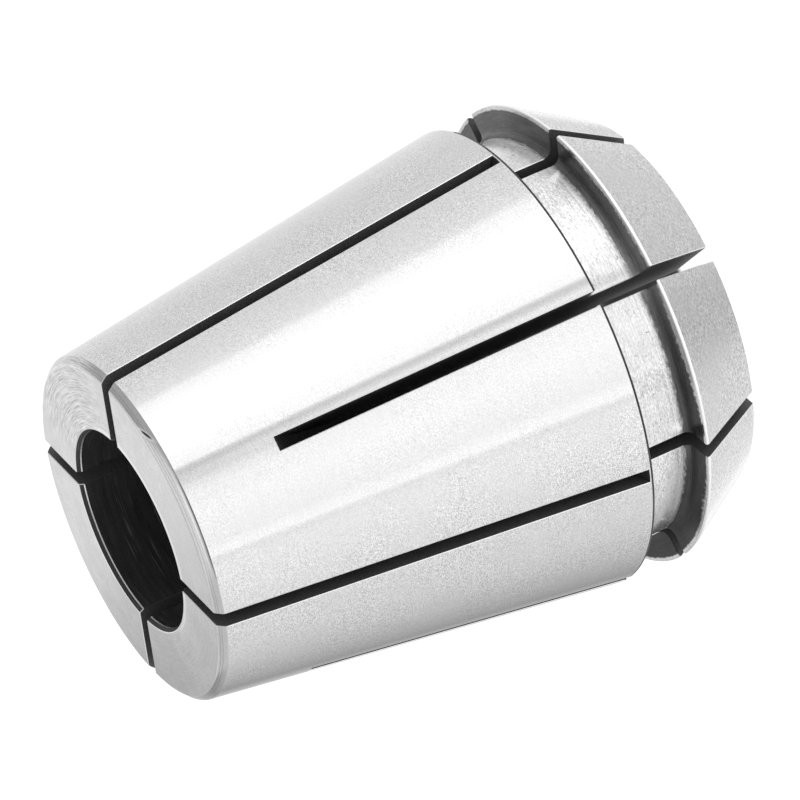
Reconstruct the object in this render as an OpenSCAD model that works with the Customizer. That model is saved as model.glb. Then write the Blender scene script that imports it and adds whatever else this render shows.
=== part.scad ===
// Spring collet, size 32 with an 8 degree seat and a 14 mm bore, for gripping a round tool shank.
// It is one piece of spring steel: turned, slotted from both ends, hardened and ground.
// It stands on its large end. Z is its axis, and the origin is the centre of the large end's face.
// All lengths are millimetres and all angles are degrees.

/* [Body] */
// Length from the large end's face to the small end's face
body_l = 40; // [36:0.5:48]
// Diameter of the bore that grips the shank
bore_d = 14; // [6:0.5:18]
// Chamfer at the bore's mouth in the large end, where the shank goes in
bore_lead_in = 0.4; // [0.1:0.1:1]
// Chamfer at the bore's mouth in the small end
bore_edge = 0.2; // [0.1:0.1:0.6]

/* [Taper] */
// Angle between the ground seat and the axis
seat_angle = 8; // [6:0.5:10]
// Diameter of the taper's shoulder, at the groove
shoulder_d = 32.8; // [30:0.1:36]
// Edge break on the shoulder
shoulder_edge = 0.1; // [0.05:0.05:0.3]
// Width across the face of the chamfer at the small end
end_chamfer_w = 0.55; // [0.2:0.05:1.2]
// Length along the axis of the chamfer at the small end
end_chamfer_l = 0.25; // [0.1:0.05:1]

/* [Collar] */
// How far the collar's band stands out past the shoulder, on the radius
collar_step = 0.1; // [-0.4:0.1:1]
// Length of the collar, from the large end's face to the groove
collar_l = 5.6; // [4.5:0.1:8]
// Angle between the cone that the nut presses and the axis
nut_angle = 30; // [25:1:35]
// Width of the straight band round the collar
collar_band = 0.2; // [0.1:0.1:1]
// Edge break between the straight band and the groove
collar_edge = 0.15; // [0.05:0.05:0.4]

/* [Groove] */
// Width of the groove that the nut's ring pulls on
groove_w = 4.1; // [3:0.1:6]
// Depth of the groove under the shoulder, on the radius
groove_depth = 2; // [1:0.1:3]
// Radius of the fillets between the groove's floor and its two walls
groove_fillet = 0.6; // [0.2:0.1:1.2]

/* [Slots] */
// Number of slots cut from the small end, and again from the large end between them
slot_n = 4; // [3:1:6]
// Width of every slot
slot_w = 1; // [0.4:0.1:2]
// Thin rim left at the shoulder, between a small-end slot and the groove
shoulder_rim = 0.2; // [0.1:0.1:3]
// Length of whole wall left between a long large-end slot and the small end's face
end_wall_l = 7.2; // [4:0.2:14]
// Distance from the end of a short collar slot to the groove's wall under the shoulder
short_slot_gap = 0.1; // [0.1:0.1:1.5]
// Diameter of the slitting saw, whose round edge is left at the end of every slot
saw_d = 32; // [30:1:60]
// How far the saw runs past the wall of the bore
saw_overrun = 2; // [1:0.25:3]

/* [Hidden] */
$fn = 120;

bore_r = bore_d / 2;
shoulder_r = shoulder_d / 2;
collar_r = shoulder_r + collar_step;
groove_r = shoulder_r - groove_depth;
saw_r = saw_d / 2;

// Height of the taper's shoulder above the large end's face
shoulder_z = collar_l + groove_w;
// Length of the cone that the nut presses, and the radius of the flat face that it leaves
cone_l = collar_l - collar_edge - collar_band;
face_r = collar_r - cone_l * tan(nut_angle);
// Distance from the axis to the centre of the slitting saw at the end of a cut
saw_offset = bore_r - saw_overrun + saw_r;
// A little more than nothing, so that a cut passes cleanly through a face
clear = 1;

// Radius of the taper at a height
function taper_r(z) = shoulder_r - (z - shoulder_z) * tan(seat_angle);

// Distance along the axis from the saw's centre to its edge, measured at a radius
function saw_reach(r) = sqrt(saw_r ^ 2 - (saw_offset - r) ^ 2);

// Half section of the turned blank before the groove: collar cone, band, shoulder, taper, end chamfer
module blank_section() {
    chamfer_z = body_l - end_chamfer_l;
    polygon([
        [0, 0],
        [face_r, 0],
        [collar_r, cone_l],
        [collar_r, collar_l - collar_edge],
        [collar_r - collar_edge, collar_l],
        [shoulder_r - shoulder_edge, shoulder_z],
        [shoulder_r, shoulder_z + shoulder_edge],
        [taper_r(chamfer_z), chamfer_z],
        [taper_r(chamfer_z) - end_chamfer_w, body_l],
        [0, body_l]
    ]);
}

// Half section of what the grooving tool takes away, with its two round corners
module groove_section() {
    depth = groove_depth + abs(collar_step) + clear;
    translate([groove_r + groove_fillet, collar_l])
        square([depth, groove_w]);
    translate([groove_r, collar_l + groove_fillet])
        square([depth, groove_w - 2 * groove_fillet]);
    for (z = [collar_l + groove_fillet, shoulder_z - groove_fillet])
        translate([groove_r + groove_fillet, z])
            circle(r = groove_fillet);
}

module turned_blank() {
    rotate_extrude()
        difference() {
            blank_section();
            groove_section();
        }
}

// Straight bore with a chamfer at each mouth
module bore() {
    translate([0, 0, -clear])
        cylinder(r = bore_r, h = body_l + 2 * clear);
    translate([0, 0, -clear])
        cylinder(r1 = bore_r + bore_lead_in + clear, r2 = bore_r, h = bore_lead_in + clear);
    translate([0, 0, body_l - bore_edge])
        cylinder(r1 = bore_r, r2 = bore_r + bore_edge + clear, h = bore_edge + clear);
}

// One cut of the slitting saw through the wall on the +X side. The saw comes in along the axis from
// the small end (from = 1) or from the large end (from = -1), and stops where its edge is at end_z
// when measured at radius r.
module saw_cut(from, end_z, r) {
    centre_z = end_z + from * saw_reach(r);
    run_in = body_l + saw_d;
    translate([saw_offset, 0, centre_z])
        rotate([90, 0, 0])
            cylinder(r = saw_r, h = slot_w, center = true);
    translate([saw_offset, 0, centre_z + from * run_in / 2])
        cube([saw_d, slot_w, run_in], center = true);
}

// The same cut repeated round the axis. A turn of 0.5 sets the cuts midway between the others.
module ring_of_cuts(turn) {
    for (i = [0 : slot_n - 1])
        rotate([0, 0, (i + turn) * 360 / slot_n])
            children();
}

// Slots from the small end. Each stops at the shoulder.
module small_end_slots() {
    ring_of_cuts(0)
        saw_cut(1, shoulder_z + shoulder_rim, shoulder_r);
}

// Slots from the large end. Each runs midway between two of the others and stops short of the small end.
module large_end_slots() {
    end_z = body_l - end_wall_l;
    ring_of_cuts(0.5)
        saw_cut(-1, end_z, taper_r(end_z));
}

// Short slots through the collar and the groove's floor, in line with the small-end slots.
module collar_slots() {
    ring_of_cuts(0)
        saw_cut(-1, shoulder_z - short_slot_gap, shoulder_r);
}

module collet() {
    color([0.74, 0.75, 0.77])
        difference() {
            turned_blank();
            bore();
            small_end_slots();
            large_end_slots();
            collar_slots();
        }
}

collet();
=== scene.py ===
# %% [markdown]
# # A spring collet in Blender
# A spring collet holds a cutter in a milling machine. It is one piece of hardened steel: a ground taper that
# is pushed into a holder, a cone that a nut presses, and slots that let it close on the tool. This script
# loads the measured model as the frame, makes a finely finished collet in its place, and lights it in a
# white studio as a catalogue would show it.

# %% Load the frame
import math

import bmesh
import bpy
from mathutils import Matrix, Vector


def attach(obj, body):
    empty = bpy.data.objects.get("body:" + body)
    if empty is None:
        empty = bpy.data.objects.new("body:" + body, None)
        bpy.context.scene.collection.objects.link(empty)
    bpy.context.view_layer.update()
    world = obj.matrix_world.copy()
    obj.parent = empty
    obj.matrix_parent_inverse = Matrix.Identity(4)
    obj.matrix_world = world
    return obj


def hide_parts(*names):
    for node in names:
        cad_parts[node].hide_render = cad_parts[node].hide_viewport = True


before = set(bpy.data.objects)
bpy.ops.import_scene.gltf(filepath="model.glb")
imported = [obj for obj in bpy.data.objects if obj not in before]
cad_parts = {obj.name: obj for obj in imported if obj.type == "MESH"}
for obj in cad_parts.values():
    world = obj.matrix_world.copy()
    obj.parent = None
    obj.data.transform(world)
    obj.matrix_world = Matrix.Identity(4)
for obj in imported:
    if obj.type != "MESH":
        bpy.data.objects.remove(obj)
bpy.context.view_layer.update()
print("the frame's nodes:", sorted(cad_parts))

# %% [markdown]
# ## Camera
# The photograph is a catalogue close-up taken with a long lens, so the lines of the collet hardly close
# with distance. The collet stands on its large end here, and lies at a slant in the photograph. Laying the
# model down would move it out of its frame, so the camera is rolled round its own line of sight instead:
# that gives the same picture.

# %% Set up the camera
MM = 0.001
VIEW_AZIMUTH = -50.809
VIEW_HEIGHT = 20.600
VIEW_ROLL = -113.670
VIEW_DISTANCE = 411.13
VIEW_AIM = (0.777, 0.203, 19.112)
LENS = 278.45
SENSOR_WIDTH = 36
NEAREST_SEEN = 0.01
FARTHEST_SEEN = 50


def direction(azimuth, height):
    """The unit vector that points to an azimuth and a height above the horizon, in degrees."""
    turn = math.radians(azimuth)
    lift = math.radians(height)
    return Vector((math.cos(turn) * math.cos(lift), math.sin(turn) * math.cos(lift), math.sin(lift)))


def set_up_camera():
    """Puts the camera on the side that it looks from, then rolls it round its line of sight."""
    back = direction(VIEW_AZIMUTH, VIEW_HEIGHT)
    level_right = Vector((0, 0, 1)).cross(back).normalized()
    level_up = back.cross(level_right)
    turned = Matrix((level_right, level_up, back)).transposed().to_4x4()
    turned = turned @ Matrix.Rotation(math.radians(VIEW_ROLL), 4, "Z")
    place = (Vector(VIEW_AIM) + back * VIEW_DISTANCE) * MM
    bpy.ops.object.camera_add()
    camera = bpy.context.object
    camera.name = "catalogue_camera"
    camera.matrix_world = Matrix.Translation(place) @ turned
    camera.data.lens = LENS
    camera.data.sensor_width = SENSOR_WIDTH
    camera.data.clip_start = NEAREST_SEEN
    camera.data.clip_end = FARTHEST_SEEN
    bpy.context.scene.camera = camera
    return camera


camera = set_up_camera()
print("the camera stands at", [round(value, 4) for value in camera.matrix_world.translation])

# %% [markdown]
# ## Helpers for node trees
# Every finish is a tree of shader nodes. A few small helpers keep the trees readable: one adds a node, one
# wires a socket or sets its value, and three do sums, map a range and mix two numbers.

# %% Helpers for node trees


def add_node(tree, kind, **settings):
    """Adds a node to a tree and sets its properties."""
    node = tree.nodes.new(kind)
    for name, value in settings.items():
        setattr(node, name, value)
    return node


def feed(tree, source, socket):
    """Wires another node's output into a socket, or sets a plain value on it."""
    if isinstance(source, bpy.types.NodeSocket):
        tree.links.new(source, socket)
    else:
        socket.default_value = source


def sums(tree, operation, *values):
    """A Math node on two or three values, each a number or another node's output."""
    node = add_node(tree, "ShaderNodeMath", operation=operation)
    for value, socket in zip(values, node.inputs):
        feed(tree, value, socket)
    return node.outputs[0]


def between(tree, value, low, high, to_low=0.0, to_high=1.0, smooth=False):
    """Maps a value from one range to another and stops at its ends."""
    node = add_node(tree, "ShaderNodeMapRange", clamp=True)
    if smooth:
        node.interpolation_type = "SMOOTHSTEP"
    for socket, source in zip(node.inputs, (value, low, high, to_low, to_high)):
        feed(tree, source, socket)
    return node.outputs[0]


def blend(tree, share, first, second):
    """A mix of two numbers."""
    node = add_node(tree, "ShaderNodeMix", data_type="FLOAT")
    feed(tree, share, node.inputs[0])
    feed(tree, first, node.inputs[2])
    feed(tree, second, node.inputs[3])
    return node.outputs[0]


# %% [markdown]
# ## Light
# Polished steel has hardly any colour of its own: it shows the room. A product photographer hangs white
# paper round such a piece, and the edges of the sheets are what draws the crisp bands along the taper. Lamps
# would give small hot spots, so the room itself is the light here. Its brightness is worked out from the
# compass direction and the height that a ray goes to. The sheets are listed with the azimuth of each edge.
# They hang low. Over them the steel sees the grey upper wall, on the camera's side the dark room behind the
# photographer, and right overhead a pale roof. From just under the horizon down, a strip of brighter paper
# fills the narrow gap between two sheets.
#
# A height is the sine of the angle between a ray and the horizon: 0 is level, and 1 straight up. Where one
# light gives way to the next, a pair of heights says where that starts and where it is complete.

# %% The room's light
PAPER_EDGES = (
    (-168, 0.71, "the far left of the tent, in shade"),
    (-154, 0.82, "left wall"),
    (-121, 0.95, "left wall"),
    (-97, 1.09, "left wall, near the key sheet"),
    (-91, 1.10, "left wall ends"),
    (-86.5, 1.04, "gap beside the key sheet"),
    (-84.5, 1.28, "key sheet starts"),
    (-82, 1.28, "curled edge of the key sheet"),
    (-77, 1.18, "key sheet"),
    (-58, 1.29, "key sheet"),
    (-47, 1.24, "key sheet, turning away"),
    (-37, 0.98, "key sheet, turning away"),
    (-33, 0.77, "key sheet ends in shade"),
    (-30, 0.74, "narrow gap between two sheets"),
    (-28.5, 1.28, "top sheet starts"),
    (-20, 1.38, "top sheet"),
    (-4, 1.70, "top sheet, where the lamp is behind it"),
    (10, 1.36, "top sheet"),
    (17, 1.25, "top sheet ends"),
    (20.5, 1.03, "right wall starts"),
    (28, 0.95, "right wall"),
    (42, 0.88, "right wall"),
    (62, 0.83, "right wall, farther away"),
    (75, 0.82, "right wall, farther away"),
    (100, 0.87, "back sheet"),
    (129.4, 0.94, "back sheet ends"),
    (131, 0.54, "open corner of the tent"),
    (139, 0.62, "open corner, a little light comes in"),
    (149, 0.51, "open corner"),
    (157, 0.38, "open corner, darkest"),
)
PAPER_TOP = 1.8
SHEET_FALL = 0.89
SHEET_FALL_HEIGHT = (0, 0.35)
STRIP_LEVEL = 0.38
STRIP_LEFT = (-37, -33.5)
STRIP_RIGHT = (-30.5, -33)
STRIP_HEIGHT = (-0.05, -0.07)
UPPER_WALL_LEVEL = 0.66
UPPER_WALL_HEIGHT = (0.36, 0.46)
DARK_ROOM_LEVEL = 0.45
DARK_ROOM_AZIMUTH = -10
DARK_ROOM_FACING = (-0.20, 0.10)
DARK_ROOM_HEIGHT = (-0.03, 0.08)
ROOF_LEVEL = 0.85
ROOF_HEIGHT = (0.84, 0.92)
print("edges of sheets and gaps in the tent:", len(PAPER_EDGES))

# %% [markdown]
# The collet's front cone looks down, so it shows the white ground instead. The ground is brightest where it
# meets the sheets and greyer straight below, in the collet's own shade, and the key sheet's foot shades it.

# %% The ground's light
GROUND_RIM = 1.25
GROUND_NEAR = 0.93
GROUND_BELOW = 0.69
GROUND_HEIGHT = (-0.40, -0.50)
GROUND_RIM_HEIGHT = (-0.65, -0.45)
GROUND_NEAR_HEIGHT = (-1.0, -0.65)
GROUND_SHADE = (
    (-172, 1.09, "under the left wall"),
    (-157, 1.18, "under the left wall"),
    (-143, 1.21, "under the left wall"),
    (-135, 0.79, "foot of the key sheet"),
    (-128, 0.79, "foot of the key sheet"),
    (-112, 0.84, "foot of the key sheet"),
    (-85, 0.89, "in front of the key sheet"),
    (-50, 0.92, "in front"),
    (15, 1.05, "under the right wall"),
    (40, 1.09, "under the right wall"),
    (50, 1.07, "under the right wall"),
    (59, 1.00, "under the right wall, farther away"),
    (69, 1.02, "under the right wall, farther away"),
    (78, 0.98, "under the right wall, farther away"),
    (97, 1.01, "behind"),
    (105, 0.75, "behind"),
    (113, 0.98, "behind"),
    (155, 1.01, "under the open corner"),
)
SHADE_TOP = 1.2
print("shades on the ground:", len(GROUND_SHADE))

# %% [markdown]
# The light is put together from a ray's azimuth and height. A colour ramp holds the levels round the
# horizon, and each stretch of the room is laid over the one before. Where the camera looks past the
# collet, the world stays white.

# %% Put the light together


def ring_of_levels(tree, turn, edges, top):
    """A colour ramp round the horizon. edges holds azimuths in degrees with their levels, and top is the
    level that white stands for."""
    node = add_node(tree, "ShaderNodeValToRGB")
    ramp = node.color_ramp
    start = edges[0]
    end = edges[-1]
    share = (180 - end[0]) / (start[0] + 360 - end[0])
    seam = (end[1] + (start[1] - end[1]) * share) / top
    ramp.elements[0].position = 0
    ramp.elements[1].position = 1
    for stop in ramp.elements:
        stop.color = (seam, seam, seam, 1)
    for degrees, level, _ in edges:
        stop = ramp.elements.new((degrees + 180) / 360)
        stop.color = (level / top, level / top, level / top, 1)
    feed(tree, turn, node.inputs[0])
    return sums(tree, "MULTIPLY", node.outputs[0], top)


def paper_light(tree, turn, height):
    """The light of the sheets, a little fainter higher up."""
    sheets = ring_of_levels(tree, turn, PAPER_EDGES, PAPER_TOP)
    return sums(tree, "MULTIPLY", sheets, between(tree, height, *SHEET_FALL_HEIGHT, 1, SHEET_FALL))


def rise(tree, azimuth, first, last):
    """Rises from 0 at the first azimuth to 1 at the last, both in degrees."""
    return between(tree, azimuth, math.radians(first), math.radians(last))


def strip_light(tree, azimuth, height):
    """What the strip in the narrow gap adds, from just under the horizon down."""
    left = rise(tree, azimuth, *STRIP_LEFT)
    right = rise(tree, azimuth, *STRIP_RIGHT)
    strip = sums(tree, "MULTIPLY", sums(tree, "MINIMUM", left, right), STRIP_LEVEL)
    return sums(tree, "MULTIPLY", strip, between(tree, height, *STRIP_HEIGHT))


def ground_light(tree, turn, height):
    """The light of the ground, brightest at its rim and shaded from some sides."""
    lit_rim = between(tree, height, *GROUND_RIM_HEIGHT, 0, GROUND_RIM - GROUND_NEAR)
    ground = between(tree, height, *GROUND_NEAR_HEIGHT, GROUND_BELOW, GROUND_NEAR)
    shade = ring_of_levels(tree, turn, GROUND_SHADE, SHADE_TOP)
    return sums(tree, "MULTIPLY", sums(tree, "ADD", lit_rim, ground), shade)


def room_light(tree, azimuth, height):
    """The light that comes from a direction: each stretch of the room is laid over the one before."""
    turn = between(tree, azimuth, -math.pi, math.pi)
    below = between(tree, height, *GROUND_HEIGHT, smooth=True)
    level = blend(tree, below, paper_light(tree, turn, height), ground_light(tree, turn, height))
    level = sums(tree, "ADD", level, strip_light(tree, azimuth, height))
    above = between(tree, height, *UPPER_WALL_HEIGHT, smooth=True)
    level = blend(tree, above, level, UPPER_WALL_LEVEL)
    facing = sums(tree, "COSINE", sums(tree, "SUBTRACT", azimuth, math.radians(DARK_ROOM_AZIMUTH)))
    front = between(tree, facing, *DARK_ROOM_FACING, smooth=True)
    lifted = between(tree, height, *DARK_ROOM_HEIGHT, smooth=True)
    level = blend(tree, sums(tree, "MULTIPLY", front, lifted), level, DARK_ROOM_LEVEL)
    return blend(tree, between(tree, height, *ROOF_HEIGHT, smooth=True), level, ROOF_LEVEL)


def light_the_room():
    """Makes the room's light the world's, but leaves white where the camera looks past the collet."""
    world = bpy.data.worlds.new("paper_tent")
    bpy.context.scene.world = world
    world.use_nodes = True
    tree = world.node_tree
    tree.nodes.clear()
    where = add_node(tree, "ShaderNodeTexCoord")
    parts = add_node(tree, "ShaderNodeSeparateXYZ")
    feed(tree, where.outputs["Generated"], parts.inputs[0])
    across, along, height = parts.outputs
    level = room_light(tree, sums(tree, "ARCTAN2", along, across), height)
    path = add_node(tree, "ShaderNodeLightPath")
    level = blend(tree, path.outputs["Is Camera Ray"], level, 1.0)
    background = add_node(tree, "ShaderNodeBackground")
    feed(tree, level, background.inputs["Color"])
    output = add_node(tree, "ShaderNodeOutputWorld")
    feed(tree, background.outputs[0], output.inputs[0])
    bpy.context.scene.view_settings.view_transform = "Standard"
    bpy.context.scene.view_settings.look = "None"
    return world


tent = light_the_room()
print("the tent has", len(tent.node_tree.nodes), "nodes")

# %% [markdown]
# ## Floor
# The ground of the photograph is burnt out to white. The floor is a large grey sheet that glows almost
# white, so that the collet leaves only a faint shadow on it. Under the bore the glow fades away, as a painted
# shadow, so that the slots stay dark where the camera looks through them. The sheet is hidden from
# reflections, because the room's light already holds the white ground that the steel mirrors.

# %% Lay the floor
FLOOR_SIZE = 8.0
FLOOR_GREY = 0.30
FLOOR_GLOW = 0.97
# The faint glow under the bore is a painted shadow.
BORE_SHADOW_GLOW = 0.02
SHADOW_RADIUS = 7.2
GLOW_RADIUS = 8.2


def lay_floor():
    """Lays a sheet on the ground that glows white, with a painted shadow under the bore."""
    bpy.ops.mesh.primitive_plane_add(size=FLOOR_SIZE, location=(0, 0, 0))
    floor = bpy.context.object
    floor.name = "floor"
    paint = bpy.data.materials.new("white_paper_floor")
    paint.use_nodes = True
    tree = paint.node_tree
    shader = tree.nodes["Principled BSDF"]
    shader.inputs["Base Color"].default_value = (FLOOR_GREY, FLOOR_GREY, FLOOR_GREY, 1)
    shader.inputs["Roughness"].default_value = 1.0
    shader.inputs["Specular IOR Level"].default_value = 0.0
    shader.inputs["Emission Color"].default_value = (1, 1, 1, 1)
    where = add_node(tree, "ShaderNodeTexCoord")
    length = add_node(tree, "ShaderNodeVectorMath", operation="LENGTH")
    feed(tree, where.outputs["Object"], length.inputs[0])
    radius = length.outputs["Value"]
    reach = (SHADOW_RADIUS * MM, GLOW_RADIUS * MM)
    glow = between(tree, radius, *reach, BORE_SHADOW_GLOW, FLOOR_GLOW, smooth=True)
    feed(tree, glow, shader.inputs["Emission Strength"])
    floor.data.materials.append(paint)
    floor.visible_glossy = False
    floor.visible_diffuse = False
    floor.visible_shadow = False
    return floor


bpy.ops.object.select_all(action="DESELECT")
floor = lay_floor()
print("the floor measures", [round(length, 3) for length in floor.dimensions])

# %% [markdown]
# ## Helpers for modelling
# The collet is drawn in millimetres, the unit of its drawing, and brought down to metres at the end. Each
# helper starts from a clean selection, because an operator works on everything that is selected.

# %% Helpers for modelling


def only(piece):
    """Makes one object the only one selected, and the active one."""
    bpy.ops.object.select_all(action="DESELECT")
    piece.select_set(True)
    bpy.context.view_layer.objects.active = piece


def apply_modifier(piece, kind, **settings):
    """Adds a modifier with these settings and applies it at once."""
    only(piece)
    modifier = piece.modifiers.new(kind.lower(), kind)
    for name, value in settings.items():
        setattr(modifier, name, value)
    bpy.ops.object.modifier_apply(modifier=modifier.name)


def report(piece, what):
    """Prints what was made: its faces and its box in millimetres."""
    lows = [min(vertex.co[axis] for vertex in piece.data.vertices) for axis in range(3)]
    highs = [max(vertex.co[axis] for vertex in piece.data.vertices) for axis in range(3)]
    size = [round(high - low, 3) for low, high in zip(lows, highs)]
    print(what, "has", len(piece.data.polygons), "faces and measures", size)


# %% [markdown]
# ## Sizes
# These are the same sizes as the solid part's: a size 32 collet with an 8 degree seat and a 14 mm bore. Only
# the corner breaks are drawn more closely here, as wide as they look, and so is the thin rim under the
# small-end slots. The small end's chamfer is rounded in three steps. Each step of END_CHAMFER is how far a
# corner lies in from the taper and below the end face.

# %% Sizes in millimetres
BODY_LENGTH = 40.0
BORE_RADIUS = 7.0
LEAD_IN = 0.4
BORE_BREAK = 0.2
BORE_BREAK_LENGTH = 0.33
SEAT_ANGLE = math.radians(8)
SHOULDER_RADIUS = 16.4
SHOULDER_HEIGHT = 9.7
SHOULDER_BREAK = 0.02
SHOULDER_BREAK_LENGTH = 0.17
COLLAR_RADIUS = 16.5
COLLAR_LENGTH = 5.6
COLLAR_BAND = 0.16
COLLAR_BREAK = 0.05
NUT_ANGLE = math.radians(30)
GROOVE_RADIUS = 14.4
GROOVE_FILLET = 0.6
END_CHAMFER = ((0.0, 0.56), (0.05, 0.44), (0.42, 0.08), (0.57, 0.0))
SLOT_WIDTH = 1.0
SAW_RADIUS = 16.0
SAW_OFFSET = 21.0
CONE_LENGTH = COLLAR_LENGTH - COLLAR_BREAK - COLLAR_BAND
FACE_RADIUS = COLLAR_RADIUS - CONE_LENGTH * math.tan(NUT_ANGLE)


def taper_radius(height):
    """Radius of the taper at a height."""
    return SHOULDER_RADIUS - (height - SHOULDER_HEIGHT) * math.tan(SEAT_ANGLE)


print("radius at the small end:", round(taper_radius(BODY_LENGTH), 3))

# %% [markdown]
# ## Finishes, one slot each
# A collet is turned, slotted, hardened dark, and then ground only where it must be true. So one piece of
# steel shows eight finishes. The mesh gets one material slot for each now, and the materials are filled in
# after the modelling, because the cutting tools hand their finish on to the faces that they cut.

# %% Name the finishes
FINISHES = (
    "ground_taper",
    "turned_end",
    "groove_steel",
    "nut_cone_steel",
    "bore_oxide",
    "slot_oxide",
    "slot_floor_oxide_painted_shade",
    "edge_painted_highlight",
)
TAPER, END, GROOVE, CONE, BORE, SLOT, SLOT_FLOOR, EDGE = range(len(FINISHES))
finishes = [bpy.data.materials.new(name) for name in FINISHES]


def give_finishes(piece, first):
    """Gives a piece all the finishes in the same order, and one of them to all its faces."""
    piece.data.materials.clear()
    for finish in finishes:
        piece.data.materials.append(finish)
    for face in piece.data.polygons:
        face.material_index = first


print("finishes:", ", ".join(FINISHES))

# %% [markdown]
# ## The turned blank
# A lathe makes a round body from one outline, and so does Spin. A single point is drawn from corner to
# corner with extrude, as with a pencil, and the outline is then spun round the axis. The columns of the spin
# are set so that both edges of every slot fall inside a narrow column of their own: a column line that
# crossed a slot's edge at a shallow angle would leave slivers, and a bevel can't run over slivers. Each
# step of COLUMN_PLAN is an angle in degrees and the number of columns in it, and the steps add up to
# SLOT_TURN, the turn from one slot to the next.

# %% Draw the outline
FILLET_STEPS = 10


def arc(centre_r, centre_z, start, end, steps):
    """Points on a fillet, without its first one, from one angle to another in degrees."""
    points = []
    for step in range(1, steps + 1):
        angle = math.radians(start + (end - start) * step / steps)
        radius = centre_r + GROOVE_FILLET * math.cos(angle)
        height = centre_z + GROOVE_FILLET * math.sin(angle)
        points.append((radius, height))
    return points


def outline():
    """Corners of the half section, radius and height, from the large end's face round to the bore."""
    fillet_r = GROOVE_RADIUS + GROOVE_FILLET
    break_z = SHOULDER_HEIGHT + SHOULDER_BREAK_LENGTH
    end_r = taper_radius(BODY_LENGTH - END_CHAMFER[0][1])
    points = [(FACE_RADIUS, 0), (COLLAR_RADIUS, CONE_LENGTH), (COLLAR_RADIUS, COLLAR_LENGTH - COLLAR_BREAK)]
    points += [(COLLAR_RADIUS - COLLAR_BREAK, COLLAR_LENGTH), (fillet_r, COLLAR_LENGTH)]
    points += arc(fillet_r, COLLAR_LENGTH + GROOVE_FILLET, 270, 180, FILLET_STEPS)
    points += [(GROOVE_RADIUS, SHOULDER_HEIGHT - GROOVE_FILLET)]
    points += arc(fillet_r, SHOULDER_HEIGHT - GROOVE_FILLET, 180, 90, FILLET_STEPS)
    points += [(SHOULDER_RADIUS - SHOULDER_BREAK, SHOULDER_HEIGHT), (taper_radius(break_z), break_z)]
    points += [(end_r - inward, BODY_LENGTH - below) for inward, below in END_CHAMFER]
    points += [(BORE_RADIUS + BORE_BREAK, BODY_LENGTH), (BORE_RADIUS, BODY_LENGTH - BORE_BREAK_LENGTH)]
    points += [(BORE_RADIUS, LEAD_IN), (BORE_RADIUS + LEAD_IN, 0)]
    return points


def draw_outline(points):
    """One point is put at the first corner and extruded from each corner to the next."""
    bpy.ops.object.select_all(action="DESELECT")
    bpy.ops.mesh.primitive_plane_add(size=1, location=(0, 0, 0))
    piece = bpy.context.object
    piece.name = "collet_body"
    bpy.ops.object.mode_set(mode="EDIT")
    bpy.ops.mesh.select_all(action="SELECT")
    bpy.ops.mesh.merge(type="CENTER")
    bpy.ops.transform.translate(value=(points[0][0], 0, points[0][1]))
    for start, end in zip(points, points[1:]):
        step = (end[0] - start[0], 0, end[1] - start[1])
        bpy.ops.mesh.extrude_vertices_move(TRANSFORM_OT_translate={"value": step})
    bpy.ops.object.mode_set(mode="OBJECT")
    piece.data.vertices[0].select = True
    bpy.ops.object.mode_set(mode="EDIT")
    bpy.ops.mesh.edge_face_add()
    bpy.ops.object.mode_set(mode="OBJECT")
    return piece


body = draw_outline(outline())
print("corners in the outline:", len(body.data.vertices))

# %% Spin the outline
SLOT_TURN = 45.0
COLUMN_PLAN = ((1.1, 1), (2.0, 1), (2.2, 1), (34.4, 20), (2.2, 1), (2.0, 1), (1.1, 1))
MERGE_DISTANCE = 0.002


def spin_body(piece):
    """Spins the outline once round, in the same columns between each slot and the next."""
    only(piece)
    bpy.ops.object.mode_set(mode="EDIT")
    bpy.ops.mesh.select_mode(type="EDGE")
    bpy.ops.mesh.select_all(action="SELECT")
    for _ in range(round(360 / SLOT_TURN)):
        for angle, steps in COLUMN_PLAN:
            turn = math.radians(angle)
            bpy.ops.mesh.spin(steps=steps, angle=turn, center=(0, 0, 0), axis=(0, 0, 1))
    bpy.ops.mesh.select_all(action="SELECT")
    bpy.ops.mesh.remove_doubles(threshold=MERGE_DISTANCE)
    bpy.ops.mesh.normals_make_consistent(inside=False)
    bpy.ops.object.mode_set(mode="OBJECT")


spin_body(body)
report(body, "the turned blank")

# %% [markdown]
# Each face's finish follows from where it lies on the outline, so it is set before the slots are cut.

# %% Set the finish of each turned face
BRIGHT_STRETCH_FROM = 20
BRIGHT_STRETCH_TO = 80
NEAR = 0.01


def shoulder_finish(azimuth):
    """The shoulder's edge is dark all round but for one stretch between two azimuths, which is bright."""
    return EDGE if BRIGHT_STRETCH_FROM < azimuth < BRIGHT_STRETCH_TO else BORE


def place_of(face):
    """The radius, the height and the azimuth in degrees of a face's centre."""
    x, y, z = face.center
    return math.hypot(x, y), z, math.degrees(math.atan2(y, x))


def finish_at(radius, height, azimuth):
    """The finish that the turned blank has at a radius, a height and an azimuth in degrees."""
    if radius < BORE_RADIUS + NEAR:
        return BORE
    if height > BODY_LENGTH - BORE_BREAK_LENGTH and radius < BORE_RADIUS + BORE_BREAK:
        return BORE
    if height > BODY_LENGTH - END_CHAMFER[0][1] or height < NEAR or radius < BORE_RADIUS + LEAD_IN:
        return END
    if height > SHOULDER_HEIGHT + SHOULDER_BREAK_LENGTH:
        return TAPER
    if height > SHOULDER_HEIGHT + NEAR:
        return shoulder_finish(azimuth)
    if height > COLLAR_LENGTH - NEAR:
        return GROOVE
    if height > CONE_LENGTH + NEAR:
        return EDGE
    return CONE


give_finishes(body, TAPER)
for face in body.data.polygons:
    face.material_index = finish_at(*place_of(face))
for number, name in enumerate(FINISHES):
    count = sum(face.material_index == number for face in body.data.polygons)
    if count:
        print(name, "has", count, "faces")

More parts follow.
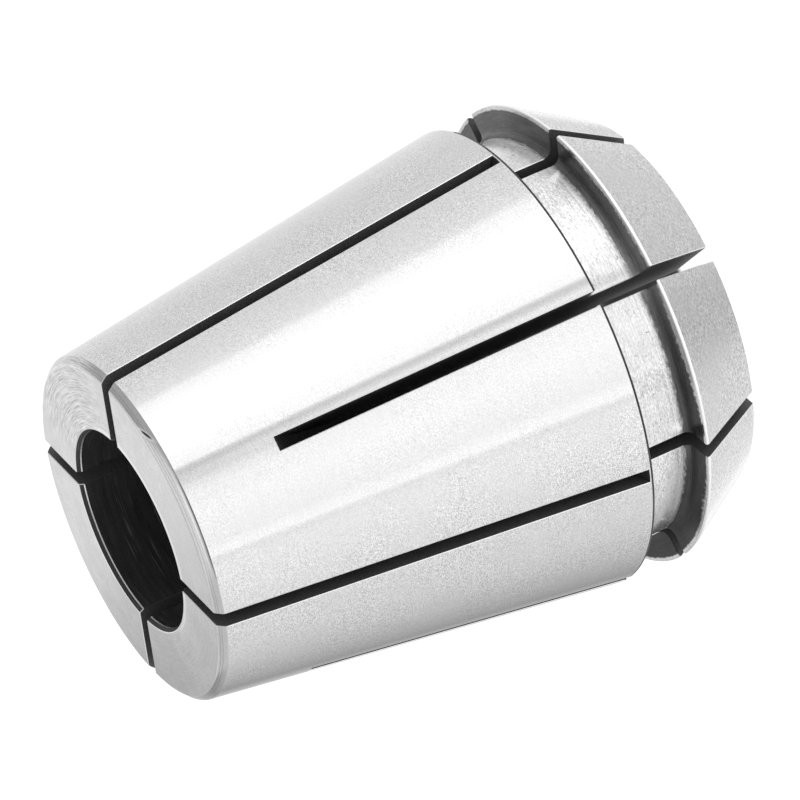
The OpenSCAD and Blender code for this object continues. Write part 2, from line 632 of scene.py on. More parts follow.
# %% [markdown]
# ## The saw and its cuts
# Every slot is cut by one slitting saw, 32 mm across and 1 mm thick, that is fed in along the axis and drawn
# back. A Boolean can do the same: a disc for the saw, cut in half, with its straight side extruded back the
# way that it came. Four copies stand round the axis for each set of slots. A set has its own Boolean, because
# two sets of saws overlap outside the body.

# %% Make a set of saws
SAWS = 4
SAW_POINTS = 144
RUN_IN = 45.0


def saw_reach(radius):
    """How far ahead of its centre the saw cuts, measured at a radius from the collet's axis."""
    return math.sqrt(SAW_RADIUS ** 2 - (SAW_OFFSET - radius) ** 2)


def make_saw(centre_z, feed_up):
    """The space that one saw takes: half its disc, and the path behind it."""
    bpy.ops.object.select_all(action="DESELECT")
    bpy.ops.mesh.primitive_cylinder_add(
        vertices=SAW_POINTS,
        radius=SAW_RADIUS,
        depth=SLOT_WIDTH,
        location=(SAW_OFFSET, 0, centre_z),
        rotation=(math.pi / 2, 0, 0),
    )
    saw = bpy.context.object
    bpy.ops.object.transform_apply(location=True, rotation=True, scale=True)
    bpy.ops.object.mode_set(mode="EDIT")
    bpy.ops.mesh.select_all(action="SELECT")
    bpy.ops.mesh.bisect(
        plane_co=(SAW_OFFSET, 0, centre_z),
        plane_no=(0, 0, feed_up),
        use_fill=True,
        clear_inner=True,
        threshold=0.001,
    )
    bpy.ops.mesh.extrude_region_move(TRANSFORM_OT_translate={"value": (0, 0, -feed_up * RUN_IN)})
    bpy.ops.mesh.select_all(action="SELECT")
    bpy.ops.mesh.normals_make_consistent(inside=False)
    bpy.ops.object.mode_set(mode="OBJECT")
    return saw


def saw_set(name, first_azimuth, centre_z, feed_up):
    """One saw and its copies, turned to their places and joined."""
    first = make_saw(centre_z, feed_up)
    saws = [first]
    for _ in range(SAWS - 1):
        twin = first.copy()
        twin.data = first.data.copy()
        bpy.context.collection.objects.link(twin)
        saws.append(twin)
    bpy.ops.object.select_all(action="DESELECT")
    for number, saw in enumerate(saws):
        saw.rotation_euler = (0, 0, math.radians(first_azimuth + number * 360 / SAWS))
        saw.select_set(True)
    bpy.context.view_layer.objects.active = first
    bpy.ops.object.transform_apply(location=False, rotation=True, scale=False)
    bpy.ops.object.join()
    first.name = name
    give_finishes(first, SLOT)
    return first


# %% Cut the slots
END_WALL = 7.2
SHOULDER_RIM = 0.22
SHORT_SLOT_GAP = 0.1


def cut_slots(piece, saws):
    """Takes a set of saws out of the body. The cut faces get the saws' finish."""
    apply_modifier(
        piece,
        "BOOLEAN",
        object=saws,
        operation="DIFFERENCE",
        solver="EXACT",
        material_mode="INDEX",
    )
    bpy.data.objects.remove(saws)


small_end_z = SHOULDER_HEIGHT + SHOULDER_RIM + saw_reach(SHOULDER_RADIUS)
long_end_z = BODY_LENGTH - END_WALL
large_end_z = long_end_z - saw_reach(taper_radius(long_end_z))
collar_end_z = SHOULDER_HEIGHT - SHORT_SLOT_GAP - saw_reach(SHOULDER_RADIUS)
cut_slots(body, saw_set("small_end_saws", 0, small_end_z, -1))
cut_slots(body, saw_set("large_end_saws", SLOT_TURN, large_end_z, 1))
cut_slots(body, saw_set("collar_saws", 0, collar_end_z, 1))
report(body, "the slotted body")

# %% [markdown]
# ## Edges
# No machined edge is perfectly sharp. After slotting, the corners are broken by hand or by tumbling, and this
# thin break is what glints as a white line beside each dark slot, helped by the pale grey painted on it as a
# highlight. First the flat faces are cleaned of the lines that the spin left on them. FLAT_ANGLE is so small
# that no fillet loses a line by it. Then every outward corner that turns by more than 50 degrees gets a
# narrow flat bevel with the bright finish. The blunter corners at the bore's mouth get one too, and on the
# thin rim at the shoulder it is narrower. Corners that the outline has already eased stay as they are. Inward
# corners, at the bottom of the slots, stay as the saw leaves them and are marked sharp.

# %% Clean the flat faces and break the edges
EDGE_BREAK = 0.045
CORNER = math.radians(50)
MOUTH_CORNER = math.radians(25)
RIM_SHARE = 0.4
FLAT_ANGLE = math.radians(0.05)
SAME_PLACE = 0.001


def clean_flats(piece):
    """Merges points that share a place, and takes out the lines that cross flat faces of one finish."""
    only(piece)
    bpy.ops.object.mode_set(mode="EDIT")
    bpy.ops.mesh.select_all(action="SELECT")
    bpy.ops.mesh.remove_doubles(threshold=SAME_PLACE)
    bpy.ops.mesh.dissolve_limited(angle_limit=FLAT_ANGLE, delimit={"MATERIAL"})
    bpy.ops.object.mode_set(mode="OBJECT")


def at_mouth(radius, height):
    """Whether a point lies at the bore's mouth in the small end."""
    return height > BODY_LENGTH - 1 and radius < BORE_RADIUS + BORE_BREAK + EDGE_BREAK


def at_rim(radius, height):
    """Whether a point lies on the thin rim between a small-end slot and the groove."""
    above_shoulder = height - SHOULDER_HEIGHT
    return abs(above_shoulder - SHOULDER_RIM) < EDGE_BREAK and radius > GROOVE_RADIUS + 1


def mark_corners(piece):
    """Outward corners get a bevel weight, inward ones are marked sharp."""
    mesh = bmesh.new()
    mesh.from_mesh(piece.data)
    layers = mesh.edges.layers.float
    weight = layers.get("bevel_weight_edge") or layers.new("bevel_weight_edge")
    outward = 0
    inward = 0
    for edge in mesh.edges:
        middle = (edge.verts[0].co + edge.verts[1].co) / 2
        radius = math.hypot(middle.x, middle.y)
        least = MOUTH_CORNER if at_mouth(radius, middle.z) else CORNER
        if len(edge.link_faces) != 2 or edge.calc_face_angle() < least:
            continue
        if edge.is_convex:
            edge[weight] = RIM_SHARE if at_rim(radius, middle.z) else 1.0
            outward += 1
        else:
            edge.smooth = False
            inward += 1
    mesh.to_mesh(piece.data)
    mesh.free()
    print("outward corner edges:", outward, "inward:", inward)


clean_flats(body)
mark_corners(body)
apply_modifier(
    body,
    "BEVEL",
    limit_method="WEIGHT",
    width=EDGE_BREAK,
    segments=1,
    use_clamp_overlap=False,
    material=EDGE,
)
report(body, "the body with broken edges")

# %% [markdown]
# Not every edge glints. Inside the bore and in the groove the edge keeps the dark skin of the hardening,
# since no wheel has touched it. The shoulder's edge is dark, which draws a dark line under the shoulder, and
# bright on one stretch only. The floor at the end of each slot is darker than its walls: painted shade at
# the slot's end, over the dark skin.

# %% Dull the edges that no wheel has touched
FLOOR_SLOPE = 0.4
EDGE_REACH = 0.1


def edge_finish(radius, height, azimuth):
    """The finish of a broken edge at a radius, a height and an azimuth in degrees."""
    in_bore = radius < BORE_RADIUS + EDGE_REACH / 2
    at_mouth_edge = height > BODY_LENGTH - BORE_BREAK_LENGTH - EDGE_REACH / 2
    if in_bore and not at_mouth_edge:
        return SLOT
    above_shoulder = height - SHOULDER_HEIGHT
    if -EDGE_REACH < above_shoulder < SHOULDER_BREAK_LENGTH and radius > GROOVE_RADIUS + EDGE_REACH:
        return shoulder_finish(azimuth)
    above_collar = height - COLLAR_LENGTH
    if -EDGE_REACH < above_collar < GROOVE_FILLET and radius < COLLAR_RADIUS - EDGE_REACH:
        return GROOVE
    return EDGE


# Edges that no wheel has touched take a dull finish. Slot floors take a darker one: painted shade at the
# slot's end, over the oxide.
dulled = 0
for face in body.data.polygons:
    if face.material_index == EDGE:
        face.material_index = edge_finish(*place_of(face))
        dulled += face.material_index != EDGE
    elif face.material_index == SLOT and abs(face.normal.z) > FLOOR_SLOPE:
        face.material_index = SLOT_FLOOR
print("faces of dull edges:", dulled)

# %% [markdown]
# ## Shading and scale
# All but the broken edges is shaded smooth. A Weighted Normal modifier then lets the broad faces rule the
# narrow ones beside them, so the ground taper runs true right up to each slot. Last, the body comes down
# from millimetres to metres, and the scale is applied, so that the piece is unturned and unscaled.

# %% Smooth the shading and bring it to metres
only(body)
bpy.ops.object.shade_smooth()
for face in body.data.polygons:
    face.use_smooth = face.material_index != EDGE
apply_modifier(body, "WEIGHTED_NORMAL", mode="FACE_AREA", weight=50, keep_sharp=True)
body.scale = (MM, MM, MM)
only(body)
bpy.ops.object.transform_apply(location=True, rotation=True, scale=True)
print("the body in metres:", [round(length, 5) for length in body.dimensions])

# %% [markdown]
# ## Patterns in the steel
# Lathe and grinder leave marks that run round the axis, about a tenth of a millimetre apart and up to a few
# millimetres long. A noise that changes fast with height and with radius, but slowly across the plan, gives
# rings with no seam. Every pattern is measured in millimetres from the collet's own axis, so it stays on the
# steel wherever the collet stands. A seed only sets one noise apart from the next.

# %% Patterns in millimetres


def lathe_place(tree):
    """A point of the collet in millimetres: its two coordinates across, its height, and its radius."""
    where = add_node(tree, "ShaderNodeTexCoord")
    scaled = add_node(tree, "ShaderNodeVectorMath", operation="SCALE")
    feed(tree, where.outputs["Object"], scaled.inputs[0])
    scaled.inputs["Scale"].default_value = 1 / MM
    parts = add_node(tree, "ShaderNodeSeparateXYZ")
    feed(tree, scaled.outputs[0], parts.inputs[0])
    x, y, z = parts.outputs
    flat = sums(tree, "ADD", sums(tree, "MULTIPLY", x, x), sums(tree, "MULTIPLY", y, y))
    return x, y, z, sums(tree, "SQRT", flat)


def joined(tree, values):
    """Three numbers made into a vector."""
    vector = add_node(tree, "ShaderNodeCombineXYZ")
    for value, socket in zip(values, vector.inputs):
        feed(tree, value, socket)
    return vector.outputs[0]


def ring_noise(tree, place, gap, run, detail=2.0, seed=0.0):
    """Noise in rings: gap is the width of a mark in millimetres, and run its length."""
    x, y, z, radius = place
    shares = [sums(tree, "DIVIDE", value, length) for value, length in ((x, run), (y, run), (z, gap))]
    noise = add_node(tree, "ShaderNodeTexNoise", noise_dimensions="4D")
    feed(tree, joined(tree, shares), noise.inputs["Vector"])
    feed(tree, sums(tree, "MULTIPLY_ADD", radius, 1 / gap, seed), noise.inputs["W"])
    noise.inputs["Scale"].default_value = 1.0
    noise.inputs["Detail"].default_value = detail
    return noise.outputs["Fac"]


def plain_noise(tree, place, size, detail=2.0, seed=0.0):
    """Noise with no direction, of a size in millimetres."""
    noise = add_node(tree, "ShaderNodeTexNoise", noise_dimensions="4D")
    feed(tree, joined(tree, place[:3]), noise.inputs["Vector"])
    noise.inputs["W"].default_value = seed
    noise.inputs["Scale"].default_value = 1 / size
    noise.inputs["Detail"].default_value = detail
    return noise.outputs["Fac"]


def marks_from(tree, noise, strength):
    """A noise made into a plus or minus round zero."""
    return sums(tree, "MULTIPLY", sums(tree, "SUBTRACT", noise, 0.5), strength)


def line_at(tree, value, middle, width):
    """1 on a line where a value passes the middle, falling to 0 at the line's edges."""
    off = sums(tree, "ABSOLUTE", sums(tree, "SUBTRACT", value, middle))
    return between(tree, off, width / 2, width / 5)


def towards(tree, place, azimuth):
    """How nearly a point lies towards an azimuth, seen along the axis: 1 there, and 0 square to it."""
    x, y, _, radius = place
    turn = math.radians(azimuth)
    along = sums(tree, "MULTIPLY", x, math.cos(turn))
    along = sums(tree, "ADD", along, sums(tree, "MULTIPLY", y, math.sin(turn)))
    return sums(tree, "DIVIDE", along, radius)


# %% [markdown]
# ## Colours and bumps
# The colours here are all greys, worked out as one number and made a colour at the end. A finish is often
# built on another one, so these helpers read what already feeds a socket and lay the next thing over it.

# %% Colours and bumps


def grey_colour(tree, level):
    """A grey of a level, as a colour."""
    colour = add_node(tree, "ShaderNodeCombineColor")
    for socket in colour.inputs:
        feed(tree, level, socket)
    return colour.outputs[0]


def mixed(tree, share, first, second):
    """A mix of two colours."""
    mix = add_node(tree, "ShaderNodeMix", data_type="RGBA")
    feed(tree, share, mix.inputs[0])
    feed(tree, first, mix.inputs[6])
    feed(tree, second, mix.inputs[7])
    return mix.outputs[2]


def tinted(tree, colour, level):
    """A colour multiplied by a grey level."""
    mix = add_node(tree, "ShaderNodeMix", data_type="RGBA", blend_type="MULTIPLY")
    mix.inputs[0].default_value = 1.0
    feed(tree, colour, mix.inputs[6])
    feed(tree, grey_colour(tree, level), mix.inputs[7])
    return mix.outputs[2]


def source_of(shader, name):
    """The output that feeds a shader's socket."""
    return shader.inputs[name].links[0].from_socket


def bump(tree, shader, height, depth):
    """Bump of a depth in millimetres, over any bump that the shader already has."""
    node = add_node(tree, "ShaderNodeBump")
    node.inputs["Strength"].default_value = 1.0
    node.inputs["Distance"].default_value = depth * MM
    feed(tree, height, node.inputs["Height"])
    if shader.inputs["Normal"].is_linked:
        feed(tree, source_of(shader, "Normal"), node.inputs["Normal"])
    feed(tree, node.outputs[0], shader.inputs["Normal"])


def open_finish(finish):
    """A finish's node tree and its shader."""
    finish.use_nodes = True
    return finish.node_tree, finish.node_tree.nodes["Principled BSDF"]


# %% [markdown]
# ## Bare steel
# Light spreads across fine marks and not along them, so the shader is anisotropic with its tangent round the
# axis. Over the rings lie specks in clusters, and faint clouds. On one side of a finish the specks can be
# weakened, where a highlight lies, as a painted sheen; or a finish can be freshly cut on one side, where its
# rings are strongest.

# %% Bare steel
CLUSTER_SIZE = 3.5
CLUSTER_NOISE = (0.36, 0.62)
CLUSTER_STRENGTH = (0.55, 1.35)
CLOUD_SIZE = 2.5
CLOUD_TINT = 0.03
STREAK_GAP = 0.14
STREAK_RUN = 4.0
SHEEN_REACH = (0.78, 0.93)
CUT_REACH = (0.80, 0.93)


def lathe_tangent(tree, shader, spread):
    """Light spreads across the marks: anisotropy with its tangent round the axis."""
    shader.inputs["Anisotropic"].default_value = spread
    shader.inputs["Anisotropic Rotation"].default_value = 0.25
    tangent = add_node(tree, "ShaderNodeTangent", direction_type="RADIAL", axis="Z")
    feed(tree, tangent.outputs[0], shader.inputs["Tangent"])


def speckle_marks(tree, place, specks, sheen_side):
    """Fine specks in clusters, weakened on the side where a highlight lies, as a painted sheen."""
    marks = marks_from(tree, ring_noise(tree, place, specks[0], specks[1]), specks[2])
    clusters = plain_noise(tree, place, CLUSTER_SIZE, seed=13.0)
    marks = sums(tree, "MULTIPLY", marks, between(tree, clusters, *CLUSTER_NOISE, *CLUSTER_STRENGTH))
    if sheen_side:
        side = between(tree, towards(tree, place, sheen_side[0]), *SHEEN_REACH, 1.0, sheen_side[1])
        marks = sums(tree, "MULTIPLY", marks, side)
    return marks


def steel_finish(finish, grey, rough, spread, specks, rings, depth, streak=0.1, sheen_side=None, cut=None):
    """Bare machined steel. specks and rings are each (gap, run, tint): the width and length of a mark in
    millimetres, and how much it tints the steel. depth is the bump of the rings, and streak how much the
    roughness varies. The last two are each (azimuth, share): the specks weaken to a share on the side where
    a highlight lies, as a painted sheen, and the rings weaken to a share everywhere but on the cut side."""
    tree, shader = open_finish(finish)
    place = lathe_place(tree)
    ring_marks = marks_from(tree, ring_noise(tree, place, rings[0], rings[1], seed=9.0), 1.0)
    if cut:
        side = between(tree, towards(tree, place, cut[0]), *CUT_REACH, cut[1], 1.0)
        ring_marks = sums(tree, "MULTIPLY", ring_marks, side)
    tint = sums(tree, "ADD", speckle_marks(tree, place, specks, sheen_side), grey)
    tint = sums(tree, "ADD", tint, sums(tree, "MULTIPLY", ring_marks, rings[2]))
    clouds = marks_from(tree, plain_noise(tree, place, CLOUD_SIZE, 3.0, 4.0), CLOUD_TINT)
    tint = sums(tree, "ADD", tint, clouds)
    feed(tree, grey_colour(tree, tint), shader.inputs["Base Color"])
    shader.inputs["Metallic"].default_value = 1.0
    streaks = marks_from(tree, ring_noise(tree, place, STREAK_GAP, STREAK_RUN, seed=5.0), streak)
    feed(tree, sums(tree, "ADD", streaks, rough), shader.inputs["Roughness"])
    lathe_tangent(tree, shader, spread)
    bump(tree, shader, ring_marks, depth)


# %% [markdown]
# ## The dark skin
# Hardening leaves a dark skin of oxide. It is cloudy, with fine specks and the faint marks of the cut that
# was there before. It isn't metal any more, so it mirrors only as much as a pebble does. The bore has a few
# long scratches through it, from shanks that slipped round in it.

# %% The dark skin
SKIN_CLOUD_SIZE = 1.6
SKIN_SPECK_SIZE = 0.16
SCRATCH_GAP = 0.10
SCRATCH_RUN = 3.5
SCRATCH_NOISE = (0.62, 0.72)


def oxide_skin(tree, place, grey, speckle):
    """The tint of the dark skin that hardening leaves: cloudy, with fine specks."""
    cloud = marks_from(tree, plain_noise(tree, place, SKIN_CLOUD_SIZE, 3.0, 2.0), grey * 0.5)
    specks = marks_from(tree, plain_noise(tree, place, SKIN_SPECK_SIZE, 2.0, 7.0), speckle)
    return sums(tree, "ADD", sums(tree, "ADD", cloud, specks), grey)


def oxide_finish(finish, grey, rough, speckle, rings, depth, shine=0.5, scratches=0.0):
    """Steel under its dark skin. rings is (gap, run, tint) of the faint marks left in it, and scratches is
    how much brighter the few scratches through the skin are."""
    tree, shader = open_finish(finish)
    place = lathe_place(tree)
    ring_marks = ring_noise(tree, place, rings[0], rings[1], seed=9.0)
    tint = oxide_skin(tree, place, grey, speckle)
    tint = sums(tree, "ADD", tint, marks_from(tree, ring_marks, rings[2]))
    if scratches:
        lines = ring_noise(tree, place, SCRATCH_GAP, SCRATCH_RUN, seed=23.0)
        tint = sums(tree, "ADD", tint, between(tree, lines, *SCRATCH_NOISE, 0, scratches))
    feed(tree, grey_colour(tree, tint), shader.inputs["Base Color"])
    shader.inputs["Metallic"].default_value = 0.0
    shader.inputs["Specular IOR Level"].default_value = shine
    shader.inputs["Roughness"].default_value = rough
    bump(tree, shader, ring_marks, depth)


# %% [markdown]
# ## The groove
# The groove's floor was turned bright after hardening, up from a ragged foot where the tool stopped short of
# the corner. Its steel is painted paler at the foot and on one side, as painted light, and darker at the
# front, as painted shade. Corners and walls kept the dark skin, sooty at the far left. Its grey is painted
# palest at the front, as painted light, and darker to the sides and behind, as painted shade. On the collar's
# rim the skin is gone, and inside it worn in patches. The places are named as pairs, a height or a radius at
# which something starts and one at which it is complete.

# %% Places in the groove
FLOOR_FOOT = (COLLAR_LENGTH + 0.42, COLLAR_LENGTH + 0.67)
FLOOR_TOP = (SHOULDER_HEIGHT - 0.15, SHOULDER_HEIGHT - 0.65)
# The next range is where the floor's foot is painted paler, as light.
BRIGHT_FOOT = (COLLAR_LENGTH + 1.5, COLLAR_LENGTH + 0.9)
ROUGH_FOOT = (COLLAR_LENGTH + 1.6, COLLAR_LENGTH + 0.6)
FROSTED_FOOT = (COLLAR_LENGTH + 2.4, COLLAR_LENGTH + 1.6)
DISHED_FOOT = (COLLAR_LENGTH + 0.95, COLLAR_LENGTH + 0.55)
DISH_DEPTH = 0.02
RIM_TOP = (COLLAR_LENGTH + 0.1, COLLAR_LENGTH + 0.05)
RIM_WORN = (COLLAR_RADIUS + 0.05, COLLAR_RADIUS + 0.35)
RIM_RUBBED = (COLLAR_RADIUS - 0.32, COLLAR_RADIUS - 0.22)
RUBBED_AZIMUTH = -52
FRONT_AZIMUTH = -50
SOOTY_AZIMUTH = -150
SOOTY_REACH = (0.82, 0.93)
# The floor is painted darker at the front, as shade, and paler on the side at 22 degrees, as light.
FLOOR_PAINTED_SIDES = (
    (FRONT_AZIMUTH, (0.80, 0.93), 0.90),
    (22, (0.97, 0.995), 1.25),
)
SKIN_TOP = 2.0
# The skin's tone round the groove is painted light and painted shade: palest at the front, which faces the
# camera, and darker to the sides and behind.
SKIN_PAINTED_LIGHT = (
    (-128, 0.26, "left of the front"),
    (-116, 0.38, "left of the front"),
    (-104, 0.46, "left of the front"),
    (-98, 0.62, "left of the front"),
    (-80, 0.74, "left of the front"),
    (-68, 1.00, "front"),
    (-56, 1.25, "front"),
    (-49, 1.80, "front, rubbed"),
    (-38, 1.85, "front, rubbed"),
    (-26, 1.45, "front"),
    (-14, 0.98, "front"),
    (10, 0.90, "right of the front"),
    (22, 0.80, "right of the front"),
    (34, 0.74, "right of the front"),
    (90, 0.65, "behind"),
)
print("the groove's floor is bright from", round(FLOOR_FOOT[1], 2), "to", round(FLOOR_TOP[1], 2))

# %% [markdown]
# The groove starts as bare steel all over. What is then worked out is a share, 1 where the steel is bare
# and 0 where the skin is left, and that share mixes the colour, the roughness and the metal of the two.

# %% Put the groove's finish together


def bare_floor(tree, place):
    """Where the floor is bright: from its ragged foot up to the other corner, but for its pits."""
    ragged = marks_from(tree, ring_noise(tree, place, 0.15, 0.4, 3.0, 3.0), 0.45)
    height = sums(tree, "ADD", place[2], ragged)
    floor = sums(tree, "MINIMUM", between(tree, height, *FLOOR_FOOT), between(tree, height, *FLOOR_TOP))
    pits = between(tree, plain_noise(tree, place, 0.30, seed=21.0), 0.66, 0.72)
    sound = sums(tree, "SUBTRACT", 1.0, sums(tree, "MULTIPLY", pits, 0.6))
    return sums(tree, "MULTIPLY", floor, sound)


def skin_wear(tree, place):
    """How worn the skin is: patches of a few millimetres, more of them on the side that was rubbed."""
    rubbed = towards(tree, place, RUBBED_AZIMUTH)
    side = between(tree, rubbed, 0.75, 0.95, 0.04, 0.22)
    far = between(tree, rubbed, 0.25, 0.45, -0.12, 0.0)
    patches = plain_noise(tree, place, 6.0, seed=11.0)
    return sums(tree, "ADD", sums(tree, "ADD", side, far), patches)


def bare_rim(tree, place):
    """Where the collar's rim is bare: along its edge, and further in where the skin is worn."""
    radius = place[3]
    chips = marks_from(tree, plain_noise(tree, place, 0.35, 3.0), 1.3)
    wear = marks_from(tree, skin_wear(tree, place), 2.5)
    wear_and_strong_side = sums(tree, "ADD", sums(tree, "ADD", radius, chips), wear)
    rubbed = sums(tree, "ADD", radius, marks_from(tree, plain_noise(tree, place, 0.5, 3.0, 5.0), 0.25))
    rim = sums(tree, "MAXIMUM", between(tree, wear_and_strong_side, *RIM_WORN), between(tree, rubbed, *RIM_RUBBED))
    return sums(tree, "MULTIPLY", rim, between(tree, place[2], *RIM_TOP))


def groove_skin(tree, place):
    """The colour of the skin in the groove, with the strokes of a brush and painted light and shade round it.
    """
    x, y, _, _ = place
    strokes = marks_from(tree, ring_noise(tree, place, 0.07, 1.6, seed=17.0), 0.3)
    skin = sums(tree, "ADD", oxide_skin(tree, place, 0.19, 0.12), strokes)
    turn = between(tree, sums(tree, "ARCTAN2", y, x), -math.pi, math.pi)
    return grey_colour(tree, sums(tree, "MULTIPLY", skin, ring_of_levels(tree, turn, SKIN_PAINTED_LIGHT, SKIN_TOP)))


def floor_painted_light(tree, place):
    """How pale the floor's steel is painted: paler at its foot and on the side at 22 degrees, as painted
    light, and darker at the front, as painted shade.
    """
    lift = between(tree, place[2], *BRIGHT_FOOT, 1.0, 1.22)
    for azimuth, reach, change in FLOOR_PAINTED_SIDES:
        side = between(tree, towards(tree, place, azimuth), *reach, 1.0, change)
        lift = sums(tree, "MULTIPLY", lift, side)
    return lift


def groove_metal(tree, place, bare, sooty):
    """How metallic the groove is. Away from the front the floor's foot is frosted, and soot is no metal."""
    front = between(tree, towards(tree, place, FRONT_AZIMUTH), 0.55, 0.85)
    frosted = blend(tree, sooty, between(tree, place[2], *FROSTED_FOOT, 1.0, 0.42), 0.9)
    floor = blend(tree, front, frosted, 1.0)
    return blend(tree, bare, blend(tree, sooty, 0.9, 0.0), floor)


def groove_finish(finish):
    """Bright steel on the floor and the rim, and the dark skin everywhere else. The floor's foot is dished
    a little, so it mirrors what lies over the collar's rim."""
    steel_finish(finish, 0.80, 0.16, 0.88, (0.09, 0.22, 1.0), (0.12, 1.2, 0.5), 0.002)
    tree, shader = open_finish(finish)
    place = lathe_place(tree)
    bare = sums(tree, "MAXIMUM", bare_floor(tree, place), bare_rim(tree, place))
    bright = tinted(tree, source_of(shader, "Base Color"), floor_painted_light(tree, place))
    feed(tree, mixed(tree, bare, groove_skin(tree, place), bright), shader.inputs["Base Color"])
    foot_rough = between(tree, place[2], *ROUGH_FOOT, 0, 0.04)
    bright_rough = sums(tree, "ADD", source_of(shader, "Roughness"), foot_rough)
    feed(tree, blend(tree, bare, 0.34, bright_rough), shader.inputs["Roughness"])
    sooty = between(tree, towards(tree, place, SOOTY_AZIMUTH), *SOOTY_REACH)
    feed(tree, groove_metal(tree, place, bare, sooty), shader.inputs["Metallic"])
    feed(tree, blend(tree, sooty, 0.5, 0.1), shader.inputs["Specular IOR Level"])
    bump(tree, shader, between(tree, place[2], *DISHED_FOOT), DISH_DEPTH)


# %% [markdown]
# ## Marks, painted highlights and painted shade on the small end
# The tool left a few lines round the small end's chamfer. They are partly painted highlight and painted shade
# along its corners, strongest on the side that faces the camera. A pale line round the bore's edge on its
# near side is a painted highlight. One side of the end is painted a little darker, as shade. And the chamfer
# took a knock once: the nick is a short dent, painted dark in its hollow as shade and with a painted
# highlight on its rim, about a millimetre long.

# %% Marks on the small end
# The lines round the chamfer are partly tool marks and partly painted highlight and painted shade along its
# corners; the first three, on the side that faces the camera, are the strongest.
CHAMFER_MARKS = (
    (39.49, 0.12, -0.55, True),
    (39.65, 0.10, 0.30, True),
    (39.84, 0.08, -0.18, True),
    (39.76, 0.07, -0.22, False),
    (39.87, 0.06, -0.25, False),
    (39.97, 0.07, 0.15, False),
)
STRONG_LINES_AZIMUTH = -58
STRONG_LINES_REACH = (0.955, 0.985)
# A pale ring is painted round the bore's edge on the near side: a painted highlight.
BORE_HIGHLIGHT_RADIUS = BORE_RADIUS + BORE_BREAK + 0.22
BORE_HIGHLIGHT_WIDTH = 0.42
BORE_HIGHLIGHT_LIFT = 0.40
BORE_HIGHLIGHT_REACH = (0.1, 0.4)
NICK_MIDDLE = Vector((10.80, -5.04, 39.79))
NICK_AXIS = Vector((-0.19, -0.92, -0.21))
NICK_ACROSS = NICK_AXIS.cross(Vector((0.66, -0.31, 0.68)))
NICK_LENGTH = 1.25
NICK_WIDTH = 0.19


def tint_finish(finish, level_at):
    """Multiplies a finish's colour by a level that a function of (tree, place) works out."""
    tree, shader = open_finish(finish)
    level = level_at(tree, lathe_place(tree))
    feed(tree, tinted(tree, source_of(shader, "Base Color"), level), shader.inputs["Base Color"])


def chamfer_lines(tree, place):
    """The lines round the chamfer, each a height, a width, a tint, and whether it lies on the side that faces
    the camera, where the lines are strongest, and the painted highlight round the bore."""
    wobble = marks_from(tree, plain_noise(tree, place, 1.2, seed=31.0), 0.05)
    height = sums(tree, "ADD", place[2], wobble)
    strong_lines_side = between(tree, towards(tree, place, STRONG_LINES_AZIMUTH), *STRONG_LINES_REACH)
    faint_lines_side = sums(tree, "SUBTRACT", 1.0, strong_lines_side)
    level = 1.0
    for middle, width, tint, wear_and_strong_side in CHAMFER_MARKS:
        share = strong_lines_side if wear_and_strong_side else faint_lines_side
        line = sums(tree, "MULTIPLY", line_at(tree, height, middle, width), share)
        level = sums(tree, "ADD", level, sums(tree, "MULTIPLY", line, tint))
    near = between(tree, towards(tree, place, FRONT_AZIMUTH), *BORE_HIGHLIGHT_REACH, 0, BORE_HIGHLIGHT_LIFT)
    bore_highlight = sums(tree, "MULTIPLY", line_at(tree, place[3], BORE_HIGHLIGHT_RADIUS, BORE_HIGHLIGHT_WIDTH), near)
    return sums(tree, "ADD", level, bore_highlight)


def painted_side_shade(tree, place):
    """Painted shade: the end is a little darker on the side away from +X."""
    return between(tree, towards(tree, place, 180), 0.60, 0.97, 1.0, 0.86)


def nick_distance(tree, place):
    """How far a point is from the nick's middle: 1 on the edge of an ellipse of the nick's size."""
    offset = add_node(tree, "ShaderNodeVectorMath", operation="SUBTRACT")
    feed(tree, joined(tree, place[:3]), offset.inputs[0])
    offset.inputs[1].default_value = NICK_MIDDLE
    squares = []
    for axis, size in ((NICK_AXIS, NICK_LENGTH), (NICK_ACROSS, NICK_WIDTH)):
        along = add_node(tree, "ShaderNodeVectorMath", operation="DOT_PRODUCT")
        feed(tree, offset.outputs[0], along.inputs[0])
        along.inputs[1].default_value = axis.normalized()
        part = sums(tree, "DIVIDE", along.outputs["Value"], size / 2)
        squares.append(sums(tree, "MULTIPLY", part, part))
    return sums(tree, "SQRT", sums(tree, "ADD", *squares))


def add_nick(finish):
    """The nick, painted: painted shade in its hollow, and a painted highlight on the ridge that the knock
    raised round it.
    """
    tree, shader = open_finish(finish)
    far = nick_distance(tree, lathe_place(tree))
    rim_highlight = between(tree, far, 1.9, 1.2)
    hollow_shade = between(tree, far, 1.0, 0.6)
    steel = mixed(tree, rim_highlight, source_of(shader, "Base Color"), grey_colour(tree, 1.0))
    steel = mixed(tree, hollow_shade, steel, grey_colour(tree, 0.08))
    feed(tree, steel, shader.inputs["Base Color"])


# %% [markdown]
# ## Fill in the finishes
# The taper is ground, so it is the smoothest. The end is turned, and one quarter of it shows its rings. The
# front cone is duller. The bore and the slots kept their dark skin, and the floor of each slot is painted
# darker still, as shade. The broken edges are the brightest: their near-white grey is a painted highlight
# over the glint of the bevel.

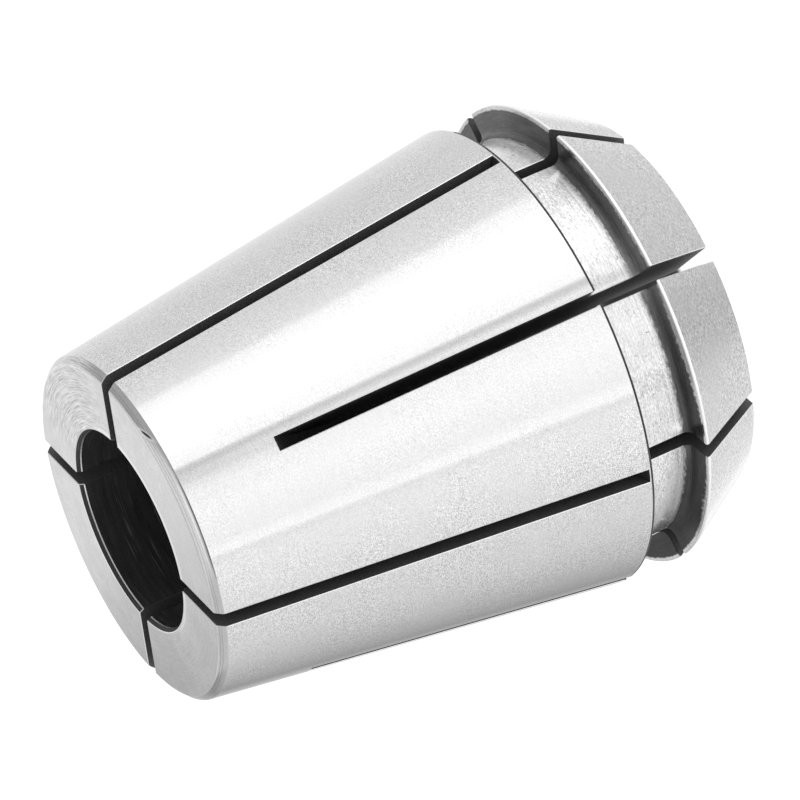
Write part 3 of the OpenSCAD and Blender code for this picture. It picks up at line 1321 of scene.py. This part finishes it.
# %% Fill in the finishes
# The taper's specks are weakened towards azimuth -42, where the key sheet's highlight lies: a painted sheen.
steel_finish(
    finishes[TAPER],
    grey=0.75,
    rough=0.08,
    spread=0.9,
    specks=(0.07, 0.10, 1.1),
    rings=(0.14, 2.5, 0.06),
    depth=0.0004,
    streak=0.02,
    sheen_side=(-42, 0.45),
)
steel_finish(
    finishes[END],
    grey=0.745,
    rough=0.10,
    spread=0.5,
    specks=(0.07, 0.15, 0.3),
    rings=(0.085, 1.2, 1.2),
    depth=0.014,
    streak=0.04,
    cut=(42, 0.14),
)
tint_finish(finishes[END], painted_side_shade)
tint_finish(finishes[END], chamfer_lines)
add_nick(finishes[END])
groove_finish(finishes[GROOVE])
steel_finish(
    finishes[CONE],
    grey=0.74,
    rough=0.20,
    spread=0.6,
    specks=(0.10, 0.18, 1.0),
    rings=(0.12, 1.0, 0.1),
    depth=0.001,
)
oxide_finish(
    finishes[BORE],
    grey=0.045,
    rough=0.45,
    speckle=0.04,
    rings=(0.3, 3.0, 0.06),
    depth=0.003,
    shine=0.35,
    scratches=0.15,
)
# The slot floors' grey, darker than the walls', is oxide with painted shade over it.
oxide_finish(
    finishes[SLOT_FLOOR],
    grey=0.04,
    rough=0.6,
    speckle=0.03,
    rings=(0.3, 1.0, 0.03),
    depth=0.002,
    shine=0.1,
)
oxide_finish(
    finishes[SLOT],
    grey=0.09,
    rough=0.5,
    speckle=0.07,
    rings=(0.15, 0.5, 0.08),
    depth=0.006,
)
# The edges' near-white grey, paler than the rest of the steel, is a painted highlight over the bevel's glint.
steel_finish(
    finishes[EDGE],
    grey=0.99,
    rough=0.35,
    spread=0.0,
    specks=(0.15, 0.4, 0.2),
    rings=(0.2, 0.5, 0.05),
    depth=0.001,
)
for finish in finishes:
    print(finish.name, "has", len(finish.node_tree.nodes), "nodes")

# %% [markdown]
# ## Put it in the frame
# The finished body stands in the place of the solid part's one node and rides on the one body.

# %% Put it in the frame
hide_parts("collet")
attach(body, "root")
